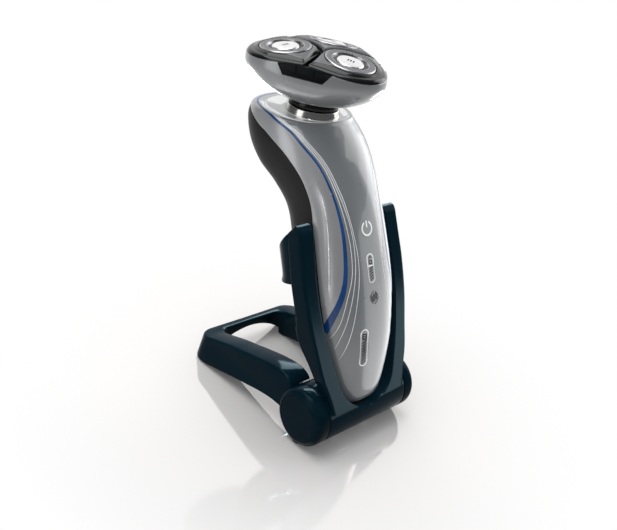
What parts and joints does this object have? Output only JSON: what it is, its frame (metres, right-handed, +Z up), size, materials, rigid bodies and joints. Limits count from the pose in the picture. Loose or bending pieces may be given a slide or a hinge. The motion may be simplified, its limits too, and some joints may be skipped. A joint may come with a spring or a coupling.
{
  "type": "rotary shaver with charging stand",
  "caption": "Three-head rotary shaver with a curved two-tone handle, standing in a hinged gloss charging stand with a ring base.",
  "frame": {"origin": "on the floor, under the middle of the stand hinge", "axes": "+Z up, -Y the front of the shaver, +X the right end of the hinge seen from behind the stand"},
  "size_m": [0.068, 0.1043, 0.1719],
  "materials": {
    "stand_gloss": "very dark teal high gloss",
    "foot_rubber": "matt",
    "pin_steel": "turned",
    "black_plastic": "satin black",
    "contact_brass": "plated",
    "board_green": "solder resist",
    "grey_metallic": "metallic lacquer",
    "silver_metallic": "silver lacquer",
    "blue_trim": "gloss",
    "grip_rubber": "soft touch",
    "inner_plastic": "moulded",
    "cell_wrap": "shrink wrap",
    "lens_clear": "printed lens",
    "bright_chrome": "polished",
    "window_dark": "smoked",
    "gear_plastic": "natural",
    "plate_black": "high gloss",
    "guard_steel": "ground",
    "cap_steel": "spun"
  },
  "bodies": {
    "stand_base": {"base_ring": "stand_gloss", "knuckle_caps": "stand_gloss", "foot_pads": "foot_rubber", "hinge_pins": "pin_steel"},
    "cradle": {"cradle_frame": "stand_gloss", "back_yoke": "stand_gloss", "contact_block": "black_plastic", "contact_pins": "contact_brass", "charge_board": "board_green", "barrel_cover": "black_plastic", "cover_screws": "pin_steel", "power_inlet": "black_plastic"},
    "shaver": {"front_panel": "grey_metallic", "side_panel_left": "silver_metallic", "side_panel_right": "silver_metallic", "trim_left": "blue_trim", "trim_right": "blue_trim", "rear_grip": "grip_rubber", "bottom_socket": "black_plastic", "chassis": "inner_plastic", "battery_cells": "cell_wrap", "circuit_board": "board_green", "motor": "pin_steel", "status_lens": "lens_clear", "charge_lens": "lens_clear", "chassis_screws": "pin_steel", "neck_ring": "bright_chrome", "neck_seal": "foot_rubber"},
    "button": {"power_button": "grey_metallic"},
    "spindle": {"drive_spindle": "pin_steel"},
    "head": {"neck_collar": "black_plastic", "head_bowl": "silver_metallic", "hair_windows": "window_dark", "gear_cover": "inner_plastic", "float_springs": "pin_steel"},
    "gear": {"centre_gear": "gear_plastic"},
    "unit_front": {"plate_front": "plate_black", "guard_front": "guard_steel", "cap_front": "cap_steel"},
    "cutter_front": {"cutter_front": "guard_steel"},
    "pin_front": {"drive_pin_front": "gear_plastic"},
    "unit_left": {"plate_left": "plate_black", "guard_left": "guard_steel", "cap_left": "cap_steel"},
    "cutter_left": {"cutter_left": "guard_steel"},
    "pin_left": {"drive_pin_left": "gear_plastic"},
    "unit_right": {"plate_right": "plate_black", "guard_right": "guard_steel", "cap_right": "cap_steel"},
    "cutter_right": {"cutter_right": "guard_steel"},
    "pin_right": {"drive_pin_right": "gear_plastic"}
  },
  "joints": [
    {"name": "stand_hinge", "type": "hinge", "parent": "stand_base", "child": "cradle", "pos_m": [0, 0, 0.0151], "axis": [1, 0, 0], "range_deg": [-8, 25]},
    {"name": "shaver_lift", "type": "slide", "parent": "cradle", "child": "shaver", "axis": [0, 0.4226, 0.9063], "range_m": [0, 0.11]},
    {"name": "button_press", "type": "slide", "parent": "shaver", "child": "button", "axis": [0, 0.9063, -0.4226], "range_m": [0, 0.0005], "stiffness_N_per_m": 800, "springref_m": -0.0005},
    {"name": "spindle_spin", "type": "hinge", "parent": "shaver", "child": "spindle", "pos_m": [0, 0.06081, 0.14078], "axis": [0, 0.0175, 0.9998], "continuous": true},
    {"name": "head_pull", "type": "slide", "parent": "shaver", "child": "head", "axis": [0, 0.0175, 0.9998], "range_m": [0, 0.025]},
    {"name": "gear_spin", "type": "hinge", "parent": "head", "child": "gear", "pos_m": [0, 0.06109, 0.15707], "axis": [0, 0.0175, 0.9998], "continuous": true},
    {"name": "float_front", "type": "slide", "parent": "head", "child": "unit_front", "axis": [0, 0.1392, -0.9903], "range_m": [0, 0.001], "stiffness_N_per_m": 900, "springref_m": -0.0005},
    {"name": "cutter_spin_front", "type": "hinge", "parent": "unit_front", "child": "cutter_front", "pos_m": [0, 0.04428, 0.16642], "axis": [0, -0.1392, 0.9903], "continuous": true},
    {"name": "pin_spin_front", "type": "hinge", "parent": "head", "child": "pin_front", "pos_m": [0, 0.0447, 0.15736], "axis": [0, 0.0175, 0.9998], "continuous": true},
    {"name": "float_left", "type": "slide", "parent": "head", "child": "unit_left", "axis": [0.1355, -0.0954, -0.9862], "range_m": [0, 0.001], "stiffness_N_per_m": 900, "springref_m": -0.0005},
    {"name": "cutter_spin_left", "type": "hinge", "parent": "unit_left", "child": "cutter_left", "pos_m": [-0.0147, 0.06974, 0.16597], "axis": [-0.1355, 0.0954, 0.9862], "continuous": true},
    {"name": "pin_spin_left", "type": "hinge", "parent": "head", "child": "pin_left", "pos_m": [-0.0142, 0.06929, 0.15693], "axis": [0, 0.0175, 0.9998], "continuous": true},
    {"name": "float_right", "type": "slide", "parent": "head", "child": "unit_right", "axis": [-0.1355, -0.0954, -0.9862], "range_m": [0, 0.001], "stiffness_N_per_m": 900, "springref_m": -0.0005},
    {"name": "cutter_spin_right", "type": "hinge", "parent": "unit_right", "child": "cutter_right", "pos_m": [0.0147, 0.06974, 0.16597], "axis": [0.1355, 0.0954, 0.9862], "continuous": true},
    {"name": "pin_spin_right", "type": "hinge", "parent": "head", "child": "pin_right", "pos_m": [0.0142, 0.06929, 0.15693], "axis": [0, 0.0175, 0.9998], "continuous": true}
  ],
  "couplings": [
    {"joint": "gear_spin", "follows": "spindle_spin", "ratio": 1},
    {"joint": "pin_spin_front", "follows": "spindle_spin", "ratio": -0.81818},
    {"joint": "cutter_spin_front", "follows": "spindle_spin", "ratio": -0.81818},
    {"joint": "pin_spin_left", "follows": "spindle_spin", "ratio": -0.81818},
    {"joint": "cutter_spin_left", "follows": "spindle_spin", "ratio": -0.81818},
    {"joint": "pin_spin_right", "follows": "spindle_spin", "ratio": -0.81818},
    {"joint": "cutter_spin_right", "follows": "spindle_spin", "ratio": -0.81818}
  ]
}
